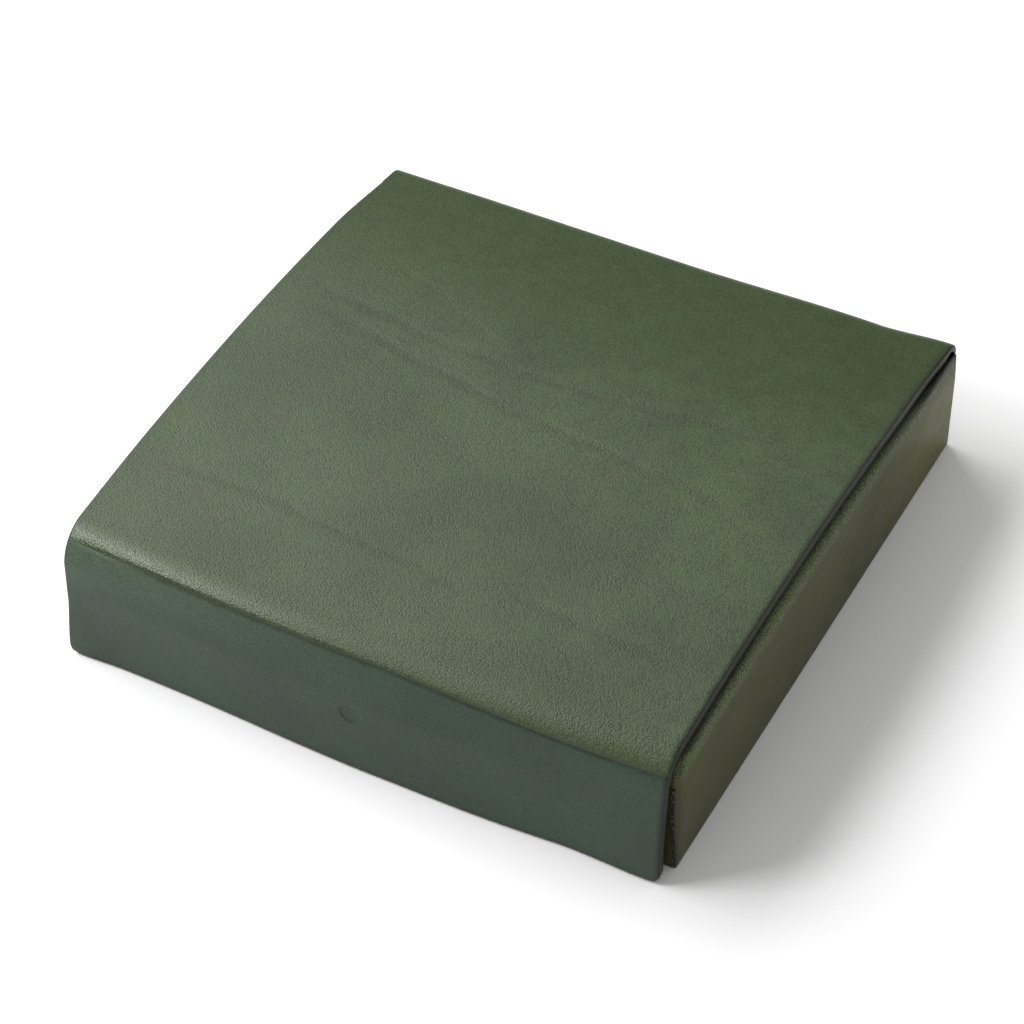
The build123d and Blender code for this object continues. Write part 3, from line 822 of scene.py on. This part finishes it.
patches = node(tree, "MapRange", (wobble, 0.35, 0.6, 0.6, 1.0), **soft)
growth = node(tree, "Math", (growth, patches), operation="MULTIPLY")
mark_dark = node(tree, "MapRange", (growth, 0, 1, 1.0, 0.9), **soft)
marks_and_crease_shade = node(tree, "VectorMath", {0: dye_and_crease_shade, "Scale": mark_dark}, operation="SCALE")
tree.links.new(marks_and_crease_shade.outputs[0], cover_leather["colour"].inputs[0])
stretch = node(tree, "MapRange", (run, pull_from, pull_full, 1.2, 2.4), **soft)
rubbed = node(tree, "MapRange", (polish, -0.15, 0.03, 0.6, 1.15), **soft)
worn = node(tree, "Math", (stretch, rubbed), operation="MULTIPLY")
vigour = node(tree, "Math", (growth, 1.1, worn), operation="MULTIPLY_ADD")
for bump in cover_leather["bumps"]:
    tree.links.new(vigour.outputs[0], bump.inputs["Strength"])
grain = cover_leather["bumps"][1].outputs[0]
growth_bump = node(
    tree,
    "Bump",
    {"Height": growth, "Distance": growth_depth, "Strength": 1.0, "Normal": grain},
    invert=True,
).outputs[0]
tree.links.new(growth_bump, cover_leather["shader"].inputs["Normal"])

# The flap's leather was pressed flat with a warm plate, so it is smoother, darker and duller. It is rubbed
# dark along the cut edges and has painted shade along the crease. A strip below the crease, fading out to the
# right, is lighter: partly leather that the plate missed, partly painted light.
strip_width, strip_from, strip_end = 150 * mm, crease_run + 1 * mm, crease_run + 20 * mm
side_dark, foot_dark = 2.5 * mm, 3 * mm
flap_leather = full_grain(
    "pressed_green_calf_leather", "2E4030", "364A38", "UV", gloss=0.5, relief=1.2, furrow_dark=0.22
)
flap_leather["shader"].inputs["Specular IOR Level"].default_value = 0.36
tree = flap_leather["tree"]
across, run, _ = node(tree, "SeparateXYZ", {0: flap_leather["place"]}).outputs
off_middle = node(tree, "Math", (across,), operation="ABSOLUTE")
# Unpressed leather together with painted light: the strip below the crease is lightened.
fold_left = node(tree, "MapRange", (across, -cover_half, -cover_half + strip_width, 1, 0.1), **soft)
fold_low = node(tree, "MapRange", (run, strip_from, strip_end, 1, 0), **soft)
unpressed_and_painted_light = node(tree, "Math", (fold_left, fold_low), operation="MULTIPLY")
flap_dye_painted_light_and_shade = node(
    tree, "Mix", {0: unpressed_and_painted_light, 6: flap_leather["dye"], 7: linear("4A5A47")}, data_type="RGBA"
).outputs[2]
for darkening in (
    node(tree, "MapRange", (off_middle, cover_half - side_dark, cover_half, 1.0, 0.5), **soft),
    node(tree, "MapRange", (run, foot_run - foot_dark, foot_run, 1.0, 0.35), **soft),
    crease_shade(tree, across, run, flap_crease_reach),
):
    flap_dye_painted_light_and_shade = node(tree, "VectorMath", {0: flap_dye_painted_light_and_shade, "Scale": darkening}, operation="SCALE")
tree.links.new(flap_dye_painted_light_and_shade.outputs[0], flap_leather["colour"].inputs[0])

# The cover's edges are burnished and painted black, so they are dark and a little glossy, with brush marks.
brush_size, brush_height = 3 * mm, 0.2 * mm
edge_paint = bpy.data.materials.new("black_edge_paint")
edge_paint.use_nodes = True
tree = edge_paint.node_tree
shader = tree.nodes["Principled BSDF"]
shader.inputs["Base Color"].default_value = linear("1D1E16")
shader.inputs["Roughness"].default_value = 0.45
shader.inputs["Specular IOR Level"].default_value = 0.25
brush_marks = node(
    tree,
    "TexNoise",
    {"Vector": node(tree, "TexCoord").outputs["Object"], "Scale": 1 / brush_size},
).outputs[0]
brush_bump = node(tree, "Bump", {"Height": brush_marks, "Distance": brush_height}).outputs[0]
tree.links.new(brush_bump, shader.inputs["Normal"])
hide_face, lining_face, paint_face = 0, 1, 2
for material in (cover_leather["material"], suede, edge_paint):
    cover.data.materials.append(material)
work(
    cover,
    "SOLIDIFY",
    thickness=cover_thickness,
    offset=-1.0,
    vertex_group="thickness",
    use_even_offset=True,
    material_offset=lining_face,
    material_offset_rim=paint_face,
)
fold_start, sharp_angle = 114 * mm, math.radians(50)
bpy.ops.object.mode_set(mode="EDIT")
for outside, at_fold, rounding, steps in (
    (True, False, 1.3 * mm, 4),
    (False, False, 0.6 * mm, 2),
    (True, True, 0.9 * mm, 3),
    (False, True, 0.3 * mm, 2),
):
    bpy.ops.mesh.select_mode(type="EDGE")
    bpy.ops.mesh.select_all(action="DESELECT")
    bpy.ops.mesh.edges_select_sharp(sharpness=sharp_angle)
    form = bmesh.from_edit_mesh(cover.data)
    for edge in form.edges:
        folded = max(vertex.co.y for vertex in edge.verts) > fold_start
        shown = hide_face in [face.material_index for face in edge.link_faces]
        if edge.select and (folded, shown) != (at_fold, outside):
            edge.select_set(False)
    bmesh.update_edit_mesh(cover.data)
    bpy.ops.mesh.bevel(
        offset=rounding, segments=steps, affect="EDGES", material=paint_face, clamp_overlap=False
    )
bpy.ops.object.mode_set(mode="OBJECT")

# The crease is pressed into the hide with a bone folder. It runs out before the left end, and the leather
# swells a little above it.
crease_depth, crease_width, left_from, left_full = 0.4 * mm, 0.8 * mm, 3 * mm, 18 * mm
bead_height, bead_width, bead_above, end_from, end_full = 0.1 * mm, 3 * mm, 4 * mm, 2 * mm, 6 * mm
hide_places = {}
for face in cover.data.polygons:
    if face.material_index == hide_face:
        for corner, index in zip(face.loop_indices, face.vertices):
            hide_places[index] = cover.data.uv_layers[0].data[corner].uv.copy()
tooled = {}
for index, (across, run) in hide_places.items():
    press = crease_depth * math.exp(-(((run - crease_run) / crease_width) ** 2))
    press *= ease(across, -cover_half + left_from, -cover_half + left_full)
    bead = bead_height * math.exp(-(((run - crease_run + bead_above) / bead_width) ** 2))
    ends = ease(cover_half - abs(across), end_from, end_full)
    tooled[index] = cover.data.vertices[index].normal * (bead - press) * ends
for index, move in tooled.items():
    cover.data.vertices[index].co += move

# The hide itself lines the fold at the back. Rounded edges that face up or forward are not painted, and the
# lining comes out to the sides under the arch. Below the crease the sheet is a piece of its own, the flap.
turned_in, foot_band, side_band, sideways = -136 * mm, 2 * mm, 2 * mm, 0.7
bpy.ops.object.mode_set(mode="EDIT")
bpy.ops.mesh.select_mode(type="FACE")
bpy.ops.mesh.select_all(action="DESELECT")
form = bmesh.from_edit_mesh(cover.data)
sheet_map = form.loops.layers.uv.active
for face in form.faces:
    middle = sum(loop[sheet_map].uv.y for loop in face.loops) / len(face.loops)
    if middle < turned_in and face.material_index == lining_face:
        face.material_index = hide_face
    place, facing = face.calc_center_median(), face.normal
    on_show = facing.z > 0.25 or (place.y < front_bend[0] and facing.y < -0.25)
    at_foot = place.z < flap_foot + foot_band and facing.y > -0.99
    if face.material_index == paint_face and on_show and abs(facing.x) < sideways and not at_foot:
        face.material_index = hide_face
    lining_shows = place.z > front_bend[1] and place.y < fold_start and -0.7 < facing.z < -0.2
    if face.material_index == paint_face and lining_shows and abs(facing.x) > sideways:
        face.material_index = lining_face
    face.select_set(middle > crease_run)
bmesh.update_edit_mesh(cover.data)
bpy.ops.mesh.separate(type="SELECTED")
bpy.ops.object.mode_set(mode="OBJECT")
flap = next(piece for piece in bpy.context.selected_objects if piece != cover)
flap.name = flap.data.name = "cover_flap"
flap.data.materials[hide_face] = flap_leather["material"]
# Both pieces are closed again where the sheet was parted.
for piece in (cover, flap):
    bpy.ops.object.select_all(action="DESELECT")
    piece.select_set(True)
    bpy.context.view_layer.objects.active = piece
    bpy.ops.object.mode_set(mode="EDIT")
    bpy.ops.mesh.select_mode(type="EDGE")
    bpy.ops.mesh.select_all(action="DESELECT")
    bpy.ops.mesh.select_non_manifold()
    form = bmesh.from_edit_mesh(piece.data)
    for edge in form.edges:
        if edge.select and max(abs(vertex.co.x) for vertex in edge.verts) > cover_half - side_band:
            edge.select_set(False)
    bmesh.update_edit_mesh(piece.data)
    bpy.ops.mesh.bridge_edge_loops()
    bpy.ops.mesh.select_all(action="SELECT")
    bpy.ops.mesh.fill_holes(sides=0)
    bpy.ops.object.mode_set(mode="OBJECT")
    bpy.ops.object.shade_smooth_by_angle(angle=smooth_angle)

# A small round hollow is pressed in the middle of the flap, to find the place for the thumb.
hollow_radius, hollow_depth, hollow_height = 4.5 * mm, 0.5 * mm, 29 * mm
hollow_margin, slope_in, slope_out, outer_face = 1.5 * mm, 0.7 * mm, 0.2 * mm, front_face + 3 * mm
bpy.context.view_layer.objects.active = flap
bpy.ops.object.mode_set(mode="EDIT")
pick(
    "FACE",
    lambda place, normal: normal.y < -0.5
    and math.hypot(place.x, place.z - hollow_height) < hollow_radius + hollow_margin,
)
bpy.ops.mesh.subdivide(number_cuts=4)
bpy.ops.object.mode_set(mode="OBJECT")
for vertex in flap.data.vertices:
    if vertex.co.y < outer_face:
        off = math.hypot(vertex.co.x, vertex.co.z - hollow_height)
        vertex.co.y += hollow_depth * (1 - ease(off, hollow_radius - slope_in, hollow_radius + slope_out))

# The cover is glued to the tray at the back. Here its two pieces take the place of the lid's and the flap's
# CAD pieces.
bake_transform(cover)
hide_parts("lid_leather", "lid_board", "lid_lining", "hinge_strip", "back_leather")
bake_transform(flap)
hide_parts("flap_leather", "flap_board", "flap_lining")
